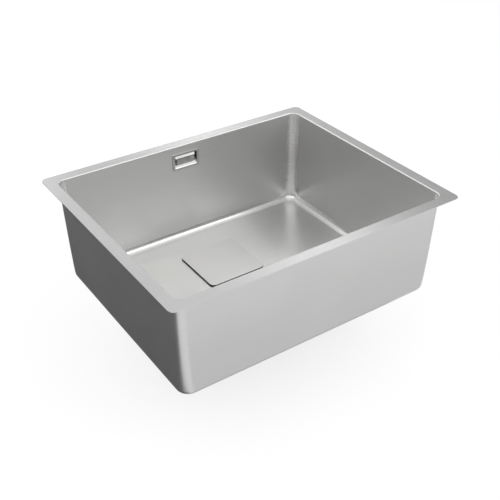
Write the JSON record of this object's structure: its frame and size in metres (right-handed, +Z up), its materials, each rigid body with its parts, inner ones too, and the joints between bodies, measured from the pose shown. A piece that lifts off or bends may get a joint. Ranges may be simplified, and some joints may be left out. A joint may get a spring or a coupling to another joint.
{
  "type": "undermount kitchen sink",
  "caption": "Single bowl undermount kitchen sink in brushed steel, with a flat rim, rear overflow, square waste cover, lift-out strainer basket and waste outlet below.",
  "frame": {"origin": "centre of the rim's top face, which meets the underside of the worktop", "axes": "+Z up, +X to the right along the long side, +Y towards the rear wall that carries the overflow"},
  "size_m": [0.54, 0.4507, 0.3],
  "materials": {
    "bowl_steel": "brushed, satin",
    "cover_steel": "fine brushed",
    "cup_steel": "pressed, bright",
    "polished_steel": "polished",
    "plate_steel": "brushed",
    "fastener_steel": "plain",
    "seal_rubber": "matt",
    "pad_rubber": "matt sheet",
    "body_plastic": "moulded, satin",
    "nut_plastic": "moulded",
    "hose_plastic": "flexible, satin",
    "insert_brass": "turned"
  },
  "bodies": {
    "root": {"bowl": "bowl_steel", "sound_pad": "pad_rubber", "waste_flange": "cup_steel", "waste_top_seal": "seal_rubber", "waste_lower_seal": "seal_rubber", "waste_body": "body_plastic", "waste_insert": "insert_brass", "waste_screw": "fastener_steel", "overflow_rosette": "polished_steel", "overflow_plate": "plate_steel", "overflow_screws": "fastener_steel", "overflow_gasket": "seal_rubber", "overflow_housing": "body_plastic", "overflow_hose": "hose_plastic", "upper_hose_nut": "nut_plastic", "lower_hose_nut": "nut_plastic", "upper_hose_seal": "seal_rubber", "lower_hose_seal": "seal_rubber"},
    "basket": {"basket": "cup_steel", "basket_stem": "fastener_steel", "basket_knob": "nut_plastic", "basket_seal": "seal_rubber", "basket_nut": "nut_plastic"},
    "cover": {"waste_cover": "cover_steel", "cover_ring": "cover_steel", "cover_feet": "seal_rubber"}
  },
  "joints": [
    {"name": "basket_lift", "type": "slide", "parent": "root", "child": "basket", "axis": [0, 0, 1], "range_m": [0, 0.25]},
    {"name": "cover_lift", "type": "slide", "parent": "basket", "child": "cover", "axis": [0, 0, 1], "range_m": [0, 0.22]}
  ]
}
